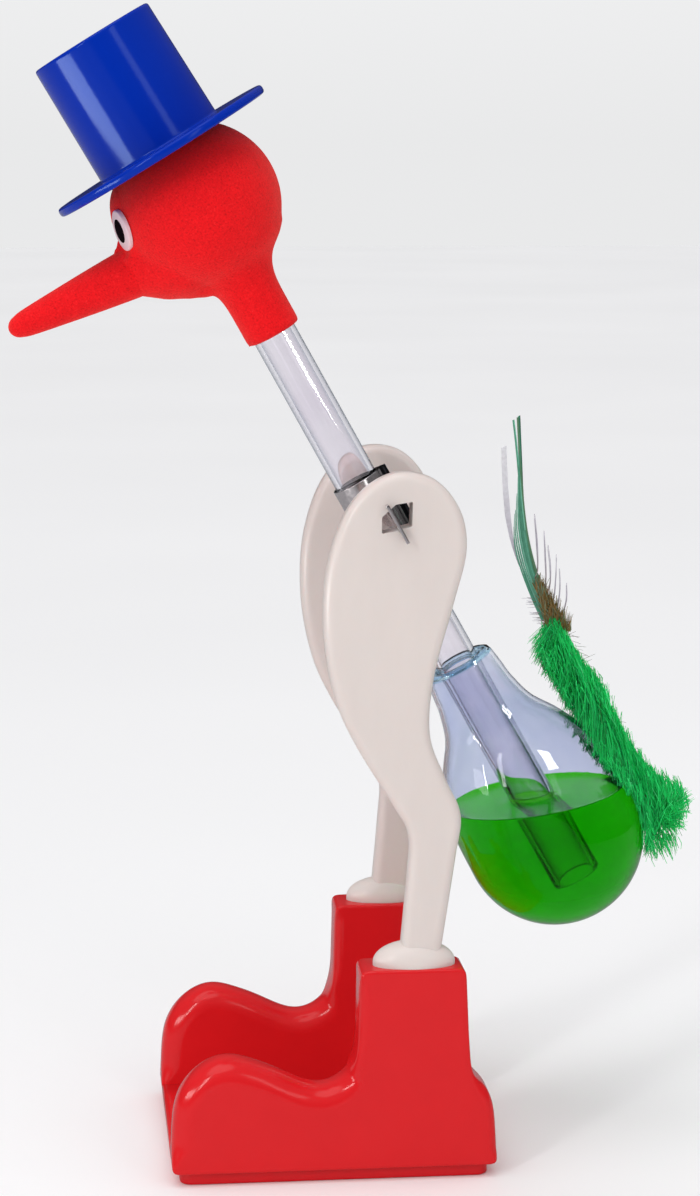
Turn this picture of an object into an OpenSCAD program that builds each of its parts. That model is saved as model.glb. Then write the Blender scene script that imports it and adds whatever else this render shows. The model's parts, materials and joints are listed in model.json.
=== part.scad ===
// Drinking bird. +X is the bird's left, -Y is its front, +Z is up.
// The origin is the middle of the underside of the sole plate. The bird is drawn dipped
// forward by tilt, about the edge that it rocks on.

/* [Stand] */
// Width of the base across both boots
base_w = 48; // [46:0.5:50]
// Length of the base from toe to heel
base_l = 50.8; // [48:0.2:54]
// Width of one boot
boot_w = 8; // [7:0.5:8.5]
// Height of the top of the boots
boot_h = 33.7; // [32:0.1:35]
// Wall of the hollow boots
boot_wall = 1.3; // [1:0.1:1.6]
// Thickness of the floor web between the boots
web_t = 1.8; // [1.5:0.1:2.5]
// Thickness of the sole plate
sole_t = 2; // [1.5:0.1:2.5]
// Inset of the sole plate from the base outline
sole_inset = 1.3; // [0.8:0.1:2]
// Thickness of each leg
leg_t = 4.2; // [3.6:0.1:4.6]
// Distance from the middle plane to the middle of each leg
leg_x = 20.3; // [19.9:0.1:20.6]

/* [Pivot] */
// Height of the rocking edge above the table
pivot_z = 102; // [101:0.5:103]
// Distance of the rocking edge behind the middle of the base
pivot_y = 9.9; // [9:0.1:10.5]
// Distance of the rocking edge behind the tube's axis
pivot_back = 1.4; // [1:0.1:1.8]
// Forward tilt of the bird
tilt = 29; // [20:1:35]
// Thickness of the clip's steel strip
strip_t = 0.5; // [0.4:0.05:0.6]
// Radial gap between the clip and the tube
clip_gap = 0.05; // [0.02:0.01:0.1]

/* [Glass] */
// Outer diameter of the neck tube
tube_d = 7; // [6.5:0.1:7.4]
// Wall of the neck tube
tube_wall = 0.8; // [0.8:0.1:1.2]
// Outer diameter of the tail bulb
bulb_d = 29; // [28:0.5:29]
// Wall of the tail bulb
bulb_wall = 0.6; // [0.6:0.05:1.2]
// Outer diameter of the head bulb
head_bulb_d = 23.8; // [23:0.1:24]
// Wall of the head bulb
head_bulb_wall = 1; // [0.6:0.05:1.2]
// Height of the fluid's surface on the tube's axis, measured along the tube from the pivot
fluid_top = -53.2; // [-60:0.2:-50]
// Slope of the fluid's surface while the bird swings
fluid_slope = 9; // [0:1:10]

/* [Head and hat] */
// Diameter of the felt head
head_d = 25.8; // [25.4:0.1:26]
// Length of the beak in front of the felt head
beak_l = 22.5; // [18:0.1:23]
// Diameter of the hat's brim
brim_d = 36.8; // [34:0.2:38]
// Height of the hat
hat_h = 20.9; // [18:0.1:22]
// Diameter of the hat's crown at its foot
crown_d = 20.8; // [20:0.2:21]
// Wall of the hat
hat_wall = 1.2; // [0.8:0.1:1.4]

/* [Hidden] */
$fn = 64;

red = "crimson";
ivory = "seashell";
steel = "slategray";
glass = [0.8, 0.85, 0.95, 0.4];

fit = 0.05;            // gap between pieces that are pushed or glued together
tube_r = tube_d / 2;
bulb_r = bulb_d / 2;
head_r = head_d / 2;
base_r = 2;            // corner radius of the base in plan
boot_x = base_w / 2 - boot_w / 2;

// leg
flange_l = 12.8;       // ankle flange, front to back
flange_w = 6.6;        // ankle flange, across
flange_h = 3.2;
ankle_y = 12.5;        // middle of the ankle
peg_l = 9;
peg_w = 3;
peg_depth = 7;

// pivot clip, measured from the rocking edge
edge_r = 0.25;         // radius of the rocking edge
groove_r = 0.3;        // radius of the groove that it rocks in
neck_h = 2;            // height of the arm where it passes through the leg
tab_low = -2.3;        // lower end of the arms and their tabs
tab_high = 4.4;        // upper end of the arms and their tabs
tab_w = 1.8;           // width of each tab outside the leg
side_gap = 0.35;       // play between the clip and each face of the leg
strap_low = -3.9;      // lower edge of the strap
strap_high = 6.4;      // upper edge of the strap
pinch_back = 5.4;      // rear end of the strap's pinched ends, from the tube's axis

// glass, measured along the tube from the pivot
tube_low = -67;
tube_high = 46;
collar_z = -27;        // top of the tail bulb's collar
bulb_z = -60;          // middle of the tail bulb's round end
head_z = 56;           // middle of the head
head_y = -0.5;         // middle of the felt head, from the tube's axis
sleeve_z = 32.8;       // lower end of the felt sleeve
hat_z = 66;            // middle of the brim
hat_y = -1.5;
hat_tilt = 2.5;        // the hat leans forward of the neck by this much
brim_t = 1.4;
beak_z = 51.8;         // height of the beak's root
beak_y = -13.2;        // front of the felt head where the beak starts
beak_rise = 4;         // the beak points up from square to the neck by this much
beak_r = 4.1;          // radius of the beak's root
beak_tip_r = 1.6;
felt_t = 0.8;
sleeve_top = 41;       // where the sleeve starts to flare into the head
plug_l = 6;            // length of the beak's core inside the head
eye_r = 3.25;
eye_out = 0.4;         // height of an eye disc above the felt
eye_yaw = 15.5;        // angle of each eye from straight ahead
eye_pitch = 11;        // angle of each eye above square to the neck
pupil_r = 1.9;
pupil_t = 0.25;
glue_r = 2.2;
bore_l = 40;           // longer than anything that is cut along the tube in the bulb
seal_r = 1.6;          // radius of the head bulb's sealed tip
seal_l = 3;            // length of that tip

// quill of the tail feather, root to tip: [behind the tube's axis, along the tube]
quill = [[15.3, -61], [15.6, -46], [16, -34], [17.3, -24], [20.2, -13], [27.2, 2.4]];

// Outline of the feather's stiff upper part, front edge up and rear edge down
vane_front = [[15.2, -31], [15.6, -23], [18.3, -13], [22.5, -4], [26.3, 2.6]];
vane_rear = [[27.6, 2.4], [25.6, -6], [23.2, -15], [21, -24], [18.2, -31]];
vane_t = 0.6;

// Middle line of the feather's down: [behind the tube's axis, along the tube, radius]
down = [[15.8, -34, 2.6], [15.6, -44, 4.4], [15.8, -56, 4.6], [18.2, -66, 4]];

// Fullness of the face round the beak's root: [behind the tube's axis, along the tube, radius]
chin = [-6.8, 49, 6.2];
brow = [-6.5, 59.1, 7];

function catmull(a, b, c, d, t) =
    (2 * b + (c - a) * t + (2 * a - 5 * b + 4 * c - d) * t * t
    + (3 * b - a - 3 * c + d) * t * t * t) / 2;

// A smooth line through the points p, with n steps between neighbours
function curve(p, n) = let (last = len(p) - 1)
    concat([for (i = [0 : last - 1], s = [0 : n - 1])
        catmull(p[max(i - 1, 0)], p[i], p[i + 1], p[min(i + 2, last)], s / n)], [p[last]]);

function arc(r, from, to, n, centre = [0, 0]) =
    [for (i = [0 : n]) let (a = from + (to - from) * i / n) centre + r * [cos(a), sin(a)]];

// Side outline of a boot, [front to back, up]
boot_outline = concat(
    curve([[-base_l / 2, sole_t], [-25.2, 9.5], [-24.2, 14.2], [-21.2, 18], [-16.7, 19.9],
        [-10.7, 18.2], [-3.6, 15.1], [0.6, 15.9], [3.2, 19.4], [3.7, 26]], 5),
    [[3.9, boot_h], [20.3, boot_h]],
    curve([[20.5, 29], [20.9, 21], [21.5, 16.6], [23.7, 14.2], [24.9, 10.4],
        [base_l / 2, sole_t]], 4));

// Side outline of a leg, from the front of the ankle over the hip to its back
leg_outline = curve([[10, boot_h], [11.3, 47], [11.6, 54], [9.4, 58.6], [3.4, 68.5],
    [0.2, 76], [-1.5, 86], [-0.9, 96.5], [2.6, 105.6], [8.6, 110.2], [15, 109.5],
    [19.2, 104.8], [20.3, 98.5], [18.4, 90.4], [15.4, 79], [14.8, 70], [17.2, 63.2],
    [19.6, 57.4], [19, 50.5], [16.6, boot_h]], 5);

// Hole in the hip, measured from the rocking edge: room for the arm at every tilt
hip_hole = [[0.25, -0.1], [1.9, 0.3], [2, 4.1], [-0.6, 3.7], [-2.7, 1.8], [-2.7, -0.75],
    [-0.15, -0.25]];

// Side of the tail bulb from its collar to where it is widest, [radius, along the tube]
bulb_neck = curve([[5.8, collar_z - 0.7], [6.2, -30.5], [6.6, -33.5], [7.9, -37.8],
    [10.7, -42.2], [13.2, -47.6], [14.2, -53], [bulb_r, bulb_z]], 4);

// Side of the tail bulb, t inside its outer surface, collar to bottom
function bulb_side(t) = concat([for (q = bulb_neck) q - [t, 0]],
    arc(bulb_r - t, -10, -90, 12, [0, bulb_z]));

// Places things given in the tube's frame: its origin is on the tube's axis, level with
// the pivot, +Z runs up the tube and +Y is to the rear
module on_bird() {
    translate([0, pivot_y, pivot_z])
        rotate([tilt, 0, 0])
            translate([0, -pivot_back, 0])
                children();
}

// Extrudes an outline given as [Y, Z] to a plate of thickness t, centred on X = 0
module plate(t) {
    rotate([90, 0, 90])
        translate([0, 0, -t / 2])
            linear_extrude(t)
                children();
}

module rounded_slab(w, l, h, r) {
    hull()
        for (x = [-1, 1], y = [-1, 1])
            translate([x * (w / 2 - r), y * (l / 2 - r), 0])
                cylinder(r = r, h = h, $fn = 32);
}

// ---- stand ----

module boot() {
    translate([boot_x, 0, 0])
        plate(boot_w)
            polygon(boot_outline);
}

// Hollow of one boot, left solid round the leg's socket
module boot_hollow() {
    hollow_w = boot_w - 2 * boot_wall;
    translate([boot_x, 0, 0])
        difference() {
            plate(hollow_w)
                offset(delta = -boot_wall)
                    polygon(concat([[-base_l / 2, -boot_wall], [base_l / 2, -boot_wall]],
                        [for (i = [len(boot_outline) - 1 : -1 : 0]) boot_outline[i]]));
            translate([-boot_w / 2, 2, boot_h - peg_depth - 2])
                cube([boot_w, 22, peg_depth + 4]);
        }
}

module leg_socket() {
    translate([leg_x - peg_w / 2 - fit, ankle_y - peg_l / 2 - fit, boot_h - peg_depth - fit])
        cube([peg_w + 2 * fit, peg_l + 2 * fit, peg_depth + 1]);
}

module base_shell() {
    color(red)
        difference() {
            intersection() {
                union() {
                    translate([-base_w / 2, -base_l / 2, sole_t])
                        cube([base_w, base_l, web_t]);
                    boot();
                    mirror([1, 0, 0]) boot();
                }
                rounded_slab(base_w, base_l, boot_h + 1, base_r);
            }
            for (m = [0, 1])
                mirror([m, 0, 0]) {
                    boot_hollow();
                    leg_socket();
                }
        }
}

module sole_plate() {
    color("firebrick")
        rounded_slab(base_w - 2 * sole_inset, base_l - 2 * sole_inset, sole_t, base_r);
}

module hip_opening() {
    translate([0, pivot_y, pivot_z]) {
        plate(leg_t + 2)
            polygon(hip_hole);
        rotate([0, 90, 0])
            cylinder(r = groove_r, h = leg_t + 2, center = true, $fn = 32);
    }
}

module ankle() {
    translate([0, ankle_y, boot_h])
        intersection() {
            scale([flange_w / flange_l, 1, 2 * flange_h / flange_l])
                sphere(d = flange_l, $fn = 40);
            translate([-flange_w, -flange_l, 0])
                cube([2 * flange_w, 2 * flange_l, 2 * flange_h]);
        }
    translate([-peg_w / 2, ankle_y - peg_l / 2, boot_h - peg_depth])
        cube([peg_w, peg_l, peg_depth + flange_h / 2]);
}

module leg() {
    difference() {
        plate(leg_t)
            polygon(leg_outline);
        hip_opening();
    }
    ankle();
}

module leg_left() {
    color(ivory)
        translate([leg_x, 0, 0])
            leg();
}

module leg_right() {
    color(ivory)
        translate([-leg_x, 0, 0])
            leg();
}

// ---- pivot ----

module clip_arms() {
    inner_x = leg_x - leg_t / 2 - side_gap;
    outer_x = leg_x + leg_t / 2 + side_gap;
    translate([0, pivot_back, 0]) {
        translate([-inner_x, -strip_t / 2, tab_low])
            cube([2 * inner_x, strip_t, tab_high - tab_low]);
        for (s = [-1, 1])
            translate([s * (outer_x + tab_w / 2) - tab_w / 2, -strip_t / 2, tab_low])
                cube([tab_w, strip_t, tab_high - tab_low]);
        translate([-outer_x, -strip_t / 2, 0])
            cube([2 * outer_x, strip_t, neck_h]);
        rotate([0, 90, 0])
            cylinder(r = edge_r, h = 2 * outer_x, center = true, $fn = 32);
    }
}

module pivot_clip() {
    strap_h = strap_high - strap_low;
    bore_r = tube_r + clip_gap;
    color(steel)
        on_bird()
            difference() {
                union() {
                    clip_arms();
                    translate([0, 0, strap_low])
                        cylinder(r = bore_r + strip_t, h = strap_h);
                    translate([-strip_t, tube_r, strap_low])
                        cube([2 * strip_t, pinch_back - tube_r, strap_h]);
                }
                translate([0, 0, strap_low - 1])
                    cylinder(r = bore_r, h = strap_h + 2);
            }
}

// ---- glass and fluid ----

module neck_tube() {
    color(glass)
        on_bird()
            translate([0, 0, tube_low])
                difference() {
                    cylinder(r = tube_r, h = tube_high - tube_low);
                    translate([0, 0, -1])
                        cylinder(r = tube_r - tube_wall, h = tube_high - tube_low + 2);
                }
}

// The bulb's outer shape, grown or shrunk
module bulb_form(t) {
    rotate_extrude()
        polygon(concat([[0, collar_z]], bulb_side(t)));
}

module bulb_space() {
    shoulder_z = collar_z - 2;
    rotate_extrude()
        polygon(concat([[0, shoulder_z], [bulb_neck[0][0] - bulb_wall, shoulder_z]],
            [for (q = bulb_side(bulb_wall)) if (q[1] < shoulder_z - 0.5) q]));
}

module tail_bulb() {
    color(glass)
        on_bird()
            difference() {
                rotate_extrude()
                    polygon(concat([[0, collar_z - 1], [tube_r, collar_z - 1],
                        [tube_r + 0.7, collar_z]], bulb_side(0)));
                bulb_space();
                translate([0, 0, collar_z - 3])
                    cylinder(r = tube_r + fit, h = 5);
            }
}

// Everything below the fluid's surface; the surface slopes while the bird swings
module below_surface() {
    translate([0, 0, fluid_top])
        rotate([fluid_slope - tilt, 0, 0])
            translate([-2 * bulb_r, -2 * bulb_r, -3 * bulb_r])
                cube([4 * bulb_r, 4 * bulb_r, 3 * bulb_r]);
}

module working_fluid() {
    color("limegreen")
        on_bird()
            intersection() {
                difference() {
                    translate([0, 0, bulb_z])
                        scale(1 - fit / bulb_r)
                            translate([0, 0, -bulb_z])
                                bulb_space();
                    translate([0, 0, tube_low])
                        cylinder(r = tube_r + fit, h = bore_l);
                }
                below_surface();
            }
}

module fluid_column() {
    color("green")
        on_bird()
            intersection() {
                translate([0, 0, tube_low])
                    cylinder(r = tube_r - tube_wall - fit, h = bore_l);
                below_surface();
            }
}

module head_bulb() {
    r = head_bulb_d / 2;
    color(glass)
        on_bird()
            translate([0, 0, head_z])
                difference() {
                    union() {
                        sphere(r = r);
                        translate([0, 0, r - 0.2 * seal_l])
                            cylinder(r1 = 1.5 * seal_r, r2 = seal_r, h = seal_l);
                        translate([0, 0, r + 0.8 * seal_l])
                            sphere(r = seal_r, $fn = 32);
                    }
                    sphere(r = r - head_bulb_wall);
                    translate([0, 0, -r - 2])
                        cylinder(r = tube_r + fit, h = r);
                }
}

// ---- head and hat ----

// A ball of the size and place in b: [behind the tube's axis, along the tube, radius]
module ball_at(b, facets) {
    translate([0, b[0], b[1]])
        sphere(r = b[2], $fn = facets);
}

module on_head() {
    translate([0, head_y, head_z])
        children();
}

module head_ball(r) {
    on_head()
        sphere(r = r);
}

// Places things on an eye's axis: +Z runs out of the head, from the head's middle
module on_eye(side) {
    rotate([0, 0, side * eye_yaw])
        rotate([90 - eye_pitch, 0, 0])
            children();
}

// Places things on the beak's axis: +Z runs from the beak's root to its tip
module on_beak() {
    translate([0, beak_y, beak_z])
        rotate([90 - beak_rise, 0, 0])
            children();
}

module head_cover() {
    sleeve_r = tube_r + 1;
    color(red)
        on_bird()
            difference() {
                union() {
                    head_ball(head_r);
                    rotate_extrude()
                        polygon(concat([[0, sleeve_z], [sleeve_r - 0.3, sleeve_z]],
                            curve([[sleeve_r, sleeve_z + 0.6], [sleeve_r, sleeve_top - 4],
                                [sleeve_r + 0.2, sleeve_top], [sleeve_r + 1.4, sleeve_top + 3],
                                [8.4, sleeve_top + 5.4], [9.8, sleeve_top + 7]], 3),
                            [[0, sleeve_top + 9]]));
                    hull() {
                        ball_at(chin, 32);
                        ball_at(brow, 32);
                        on_beak()
                            sphere(r = beak_r, $fn = 32);
                    }
                }
                translate([0, 0, head_z])
                    sphere(r = head_bulb_d / 2 + fit);
                translate([0, 0, sleeve_z - 1])
                    cylinder(r = tube_r + fit, h = 20);
                translate([-head_d, -head_d, hat_z + 0.5])
                    cube(2 * head_d);
                on_beak() {
                    translate([0, 0, -plug_l])
                        cylinder(r = beak_r - felt_t + fit, h = plug_l);
                    cylinder(r = 2 * beak_r, h = 2 * beak_r);
                }
                on_head()
                    difference() {
                        for (side = [-1, 1])
                            on_eye(side)
                                cylinder(r = eye_r + fit, h = head_r + 2);
                        sphere(r = head_r);
                    }
            }
}

module beak_core() {
    color("wheat")
        on_bird()
            difference() {
                on_beak() {
                    translate([0, 0, -plug_l])
                        cylinder(r = beak_r - felt_t, h = plug_l);
                    cylinder(r1 = beak_r - felt_t, r2 = beak_tip_r - felt_t + 0.2,
                        h = beak_l - 2 * beak_tip_r);
                }
                translate([0, 0, head_z])
                    sphere(r = head_bulb_d / 2 + fit);
            }
}

module beak_cover() {
    color(red)
        on_bird()
            on_beak()
                difference() {
                    union() {
                        cylinder(r1 = beak_r, r2 = beak_tip_r, h = beak_l - beak_tip_r);
                        translate([0, 0, beak_l - beak_tip_r])
                            sphere(r = beak_tip_r, $fn = 32);
                    }
                    translate([0, 0, -0.001])
                        cylinder(r1 = beak_r - felt_t + fit, r2 = beak_tip_r - felt_t + 0.2 + fit,
                            h = beak_l - 2 * beak_tip_r + fit);
                }
}

module eye(side) {
    color("lavenderblush")
        on_bird()
            on_head()
                on_eye(side)
                    difference() {
                        cylinder(r = eye_r, h = head_r + eye_out);
                        sphere(r = head_r + fit);
                    }
}

module pupil(side) {
    color("black")
        on_bird()
            on_head()
                on_eye(side)
                    translate([0, 0, head_r + eye_out])
                        cylinder(r = pupil_r, h = pupil_t);
}

module eye_left() { eye(1); }
module eye_right() { eye(-1); }
module pupil_left() { pupil(1); }
module pupil_right() { pupil(-1); }

module top_hat() {
    foot_r = crown_d / 2;
    top_r = foot_r - 0.3;
    crown_top = hat_h - brim_t / 2;
    color("royalblue")
        on_bird()
            difference() {
                translate([0, hat_y, hat_z])
                    rotate([hat_tilt, 0, 0])
                        difference() {
                            union() {
                                translate([0, 0, -brim_t / 2])
                                    cylinder(r = brim_d / 2, h = brim_t);
                                cylinder(r1 = foot_r, r2 = top_r, h = crown_top);
                            }
                            translate([0, 0, -brim_t])
                                cylinder(r1 = foot_r - hat_wall, r2 = top_r - hat_wall,
                                    h = crown_top + brim_t - hat_wall);
                        }
                head_ball(head_r + fit);
            }
}

// ---- tail feather ----

// A tapering round bar along the points p, [Y, Z], as rings of n corners
module swept_bar(p, r_start, r_end, n = 8) {
    last = len(p) - 1;
    rings = [for (i = [0 : last])
        let (d = p[min(i + 1, last)] - p[max(i - 1, 0)],
            side = [0, d[1], -d[0]] / norm(d),
            r = r_start + (r_end - r_start) * i / last)
        for (k = [0 : n - 1])
            [0, p[i][0], p[i][1]] + r * (cos(360 * k / n) * [1, 0, 0] + sin(360 * k / n) * side)];
    walls = [for (i = [0 : last - 1], k = [0 : n - 1])
        [i * n + k, i * n + (k + 1) % n, (i + 1) * n + (k + 1) % n, (i + 1) * n + k]];
    ends = [[for (k = [n - 1 : -1 : 0]) k], [for (k = [0 : n - 1]) last * n + k]];
    polyhedron(rings, concat(walls, ends), convexity = 4);
}

module tail_quill() {
    color("darkkhaki")
        on_bird()
            swept_bar(curve(quill, 3), 0.6, 0.2);
}

module tail_vane() {
    color("seagreen")
        on_bird()
            plate(vane_t)
                polygon(concat(curve(vane_front, 3), curve(vane_rear, 3)));
}

module tail_down() {
    color("forestgreen")
        on_bird()
            difference() {
                for (i = [1 : len(down) - 1])
                    hull() {
                        ball_at(down[i - 1], 24);
                        ball_at(down[i], 24);
                    }
                bulb_form(-0.3);
                translate([0, bulb_r, quill[0][1]])
                    sphere(r = glue_r + 0.3, $fn = 32);
            }
}

module tail_glue() {
    color("oldlace")
        on_bird()
            intersection() {
                translate([0, bulb_r, quill[0][1]])
                    sphere(r = glue_r, $fn = 32);
                translate([-glue_r, bulb_r + fit, quill[0][1] - glue_r])
                    cube(2 * glue_r);
            }
}

base_shell();
sole_plate();
leg_left();
leg_right();
pivot_clip();
neck_tube();
tail_bulb();
head_bulb();
working_fluid();
fluid_column();
head_cover();
beak_core();
beak_cover();
eye_left();
eye_right();
pupil_left();
pupil_right();
top_hat();
tail_quill();
tail_vane();
tail_down();
tail_glue();
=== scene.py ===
"""Looks of the drinking bird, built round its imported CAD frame.

Lengths in the mesh code are in millimetres. The bird's own axes have X to its left, Y to its rear and Z
up the neck, with the origin on the neck tube's middle line, level with the pivot.
"""

import json
import math
import random

import bmesh
import bpy
import numpy as np
from mathutils import Matrix, Vector


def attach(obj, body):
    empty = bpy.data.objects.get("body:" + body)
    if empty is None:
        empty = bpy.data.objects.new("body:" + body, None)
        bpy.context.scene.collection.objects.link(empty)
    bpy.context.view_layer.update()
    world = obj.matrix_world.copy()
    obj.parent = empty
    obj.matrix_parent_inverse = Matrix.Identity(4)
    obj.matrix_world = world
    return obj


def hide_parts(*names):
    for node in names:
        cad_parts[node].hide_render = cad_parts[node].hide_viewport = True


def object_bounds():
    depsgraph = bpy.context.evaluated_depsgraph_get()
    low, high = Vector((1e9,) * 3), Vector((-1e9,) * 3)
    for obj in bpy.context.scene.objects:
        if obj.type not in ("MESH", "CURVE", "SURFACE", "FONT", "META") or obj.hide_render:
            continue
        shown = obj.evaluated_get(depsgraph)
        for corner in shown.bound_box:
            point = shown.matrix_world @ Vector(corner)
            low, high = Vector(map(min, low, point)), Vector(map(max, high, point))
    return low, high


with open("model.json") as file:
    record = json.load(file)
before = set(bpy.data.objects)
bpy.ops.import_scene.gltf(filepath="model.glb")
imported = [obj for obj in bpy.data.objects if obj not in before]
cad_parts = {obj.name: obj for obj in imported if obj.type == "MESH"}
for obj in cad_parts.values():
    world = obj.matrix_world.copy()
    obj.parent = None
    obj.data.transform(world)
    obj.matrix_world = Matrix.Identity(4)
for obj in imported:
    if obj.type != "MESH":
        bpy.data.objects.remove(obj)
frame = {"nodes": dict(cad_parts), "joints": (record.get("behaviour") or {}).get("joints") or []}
cad_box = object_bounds()

MM = 0.001
TURN = 2 * math.pi
joints = {j["name"]: j for j in frame["joints"]}
PIVOT = Vector(joints["rock"]["pos_m"])
UP = Vector(joints["clip_slide"]["axis"]).normalized()
SIDE = Vector((1, 0, 0))
REAR = UP.cross(SIDE)
STAND = Matrix.Identity(4)


def axes_at(origin):
    """The bird's axes, with their origin at a point."""
    m = Matrix((SIDE, REAR, UP)).transposed().to_4x4()
    m.translation = origin
    return m


def span(node, m=STAND):
    """Lowest and highest corner of a CAD node along the axes of m, in millimetres."""
    inverse = m.inverted()
    co = np.array([inverse @ v.co for v in frame["nodes"][node].data.vertices]) / MM
    return co.min(0), co.max(0)


tube_lo, tube_hi = span("neck_tube", axes_at(PIVOT))
BIRD = axes_at(PIVOT + REAR * (tube_lo[1] + tube_hi[1]) / 2 * MM)
tube_lo, tube_hi = span("neck_tube", BIRD)
bulb_hi = span("tail_bulb", BIRD)[1]
base_lo, base_hi = span("base_shell")
sole_lo, sole_hi = span("sole_plate")
leg_hi = span("leg_left")[1]
TUBE_R = tube_hi[0]
TUBE_WALL = 0.8
TUBE_BORE = TUBE_R - TUBE_WALL


def turned(degrees, axis):
    """A turn round the axis called X, Y or Z."""
    return Matrix.Rotation(math.radians(degrees), 4, axis)


def moved(x, y, z):
    """A shift in millimetres."""
    return Matrix.Translation(Vector((x, y, z)) * MM)


# ---- mesh building ----


def spline(points, steps):
    """A smooth line through the points, with steps between neighbours."""
    p = np.array(points, float)
    out = []
    for i in range(len(p) - 1):
        a, b, c, d = p[max(i - 1, 0)], p[i], p[i + 1], p[min(i + 2, len(p) - 1)]
        for s in range(steps):
            t = s / steps
            square, cube = 2 * a - 5 * b + 4 * c - d, 3 * b - a - 3 * c + d
            out.append((2 * b + (c - a) * t + square * t * t + cube * t**3) / 2)
    return np.array(out + [p[-1]])


def resampled(points, step, closed=True):
    """The same line with points about a step apart."""
    p = np.array(points, float)
    if closed:
        p = np.vstack([p, p[:1]])
    along = np.concatenate([[0], np.cumsum(np.linalg.norm(np.diff(p, axis=0), axis=1))])
    n = max(4, round(along[-1] / step))
    at = np.linspace(0, along[-1], n + 1)
    out = np.stack([np.interp(at, along, p[:, k]) for k in range(p.shape[1])], 1)
    return out[:-1] if closed else out


def eased(points, rounds):
    """A closed line with its corners worn round."""
    p = np.array(points)
    for _ in range(rounds):
        p = (np.roll(p, 1, 0) + 2 * p + np.roll(p, -1, 0)) / 4
    return p


def rounded(points, radii, steps=6):
    """An open line with an arc at each inner corner, and a point just before and after the arc."""
    p = [Vector(q) for q in points]
    out = [p[0]]
    for i in range(1, len(p) - 1):
        r = radii[i - 1]
        if r <= 0:
            out.append(p[i])
            continue
        a, b = p[i - 1] - p[i], p[i + 1] - p[i]
        half = a.angle(b) / 2
        cut = min(r / math.tan(half), 0.45 * a.length, 0.45 * b.length)
        beside = cut * 1.12
        a, b = a.normalized(), b.normalized()
        out.append(p[i] + a * beside)
        for k in range(steps + 1):
            t = k / steps
            out.append(p[i] + a * cut * (1 - t) ** 2 + b * cut * t**2)
        out.append(p[i] + b * beside)
    out.append(p[-1])
    return out


def skin(rings, close=False):
    """Faces between rings of equal length; a ring of one point is a pole."""
    verts, index, faces = [], [], []
    for ring in rings:
        index.append(range(len(verts), len(verts) + len(ring)))
        verts += [tuple(map(float, v)) for v in ring]
    pairs = list(zip(index, index[1:])) + ([(index[-1], index[0])] if close else [])
    for a, b in pairs:
        n = max(len(a), len(b))
        for i in range(n):
            j = (i + 1) % n
            if len(a) == 1 and len(b) == 1:
                continue
            if len(a) == 1:
                faces.append((a[0], b[j], b[i]))
            elif len(b) == 1:
                faces.append((a[i], a[j], b[0]))
            else:
                faces.append((a[i], a[j], b[j], b[i]))
    return verts, faces


def turned_rings(profile, n=96):
    """Rings of a profile of (radius, height) turned round Z."""
    at = np.linspace(0, TURN, n, endpoint=False)
    rings = []
    for r, z in profile:
        if abs(r) < 1e-6:
            rings.append([(0, 0, z)])
        else:
            rings.append(np.stack([r * np.cos(at), r * np.sin(at), np.full(n, z)], 1))
    return rings


def lathe(profile, n):
    """Verts and faces of a profile turned round Z, closed where it ends on the axis."""
    return skin(turned_rings(profile, n))


def slab(outline, low, high, fillet, order, steps=6):
    """Verts and faces of a closed outline (u, v) with rounded edges and a thickness w from low to high.

    order names which of u, v and w is x, y and z. fillet is one radius, or one for each outline point.
    """
    p = np.array(outline, float)
    n = len(p)
    area = np.sum(p[:, 0] * np.roll(p[:, 1], -1) - np.roll(p[:, 0], -1) * p[:, 1])
    if area < 0:
        p = p[::-1]
        fillet = fillet[::-1] if hasattr(fillet, "__len__") else fillet
    t = np.roll(p, -1, 0) - np.roll(p, 1, 0)
    out = np.stack([t[:, 1], -t[:, 0]], 1) / np.linalg.norm(t, axis=1)[:, None]
    f = np.broadcast_to(np.array(fillet, float), n)[:, None]
    flat_margin = 0.15
    levels = [(f + flat_margin, f * 0)]
    for k in range(steps + 1):
        a = math.pi / 2 * k / steps
        levels.append((f * (1 - math.sin(a)), f * (1 - math.cos(a))))
    rings = [np.hstack([p - out * inset, low + depth]) for inset, depth in levels]
    rings += [np.hstack([p - out * inset, high - depth]) for inset, depth in levels[::-1]]
    verts, faces = skin(rings)
    faces.append(tuple(range(n))[::-1])
    last = len(verts) - n
    faces.append(tuple(range(last, last + n)))
    column = ["uvw".index(letter) for letter in order]
    return [tuple(v[k] for k in column) for v in verts], faces


def joined(*parts):
    """Several (verts, faces) as one."""
    verts, faces = [], []
    for v, f in parts:
        start = len(verts)
        verts += v
        faces += [tuple(i + start for i in q) for q in f]
    return verts, faces


def placed(name, data):
    """A new object of this data in the scene."""
    obj = bpy.data.objects.new(name, data)
    bpy.context.scene.collection.objects.link(obj)
    return obj


def piece(name, geometry, place, material, sharp=35):
    """A mesh object from verts and faces given along the axes of place."""
    verts, faces = geometry
    mesh = bpy.data.meshes.new(name)
    mesh.from_pydata([place @ (Vector(v) * MM) for v in verts], [], faces)
    bm = bmesh.new()
    bm.from_mesh(mesh)
    bmesh.ops.recalc_face_normals(bm, faces=bm.faces)
    bm.to_mesh(mesh)
    bm.free()
    obj = placed(name, mesh)
    mesh.materials.append(material)
    smooth(obj, sharp)
    return obj


def smooth(obj, sharp=35):
    """Smooth shading, with creases where faces meet at more than sharp degrees."""
    obj.data.shade_smooth()
    obj.data.set_sharp_from_angle(angle=math.radians(sharp))


def settle(obj):
    """Puts the result of the modifiers into the mesh."""
    bpy.context.view_layer.update()
    dg = bpy.context.evaluated_depsgraph_get()
    mesh = bpy.data.meshes.new_from_object(obj.evaluated_get(dg), depsgraph=dg)
    obj.modifiers.clear()
    mesh.name = obj.name
    obj.data = mesh


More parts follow.
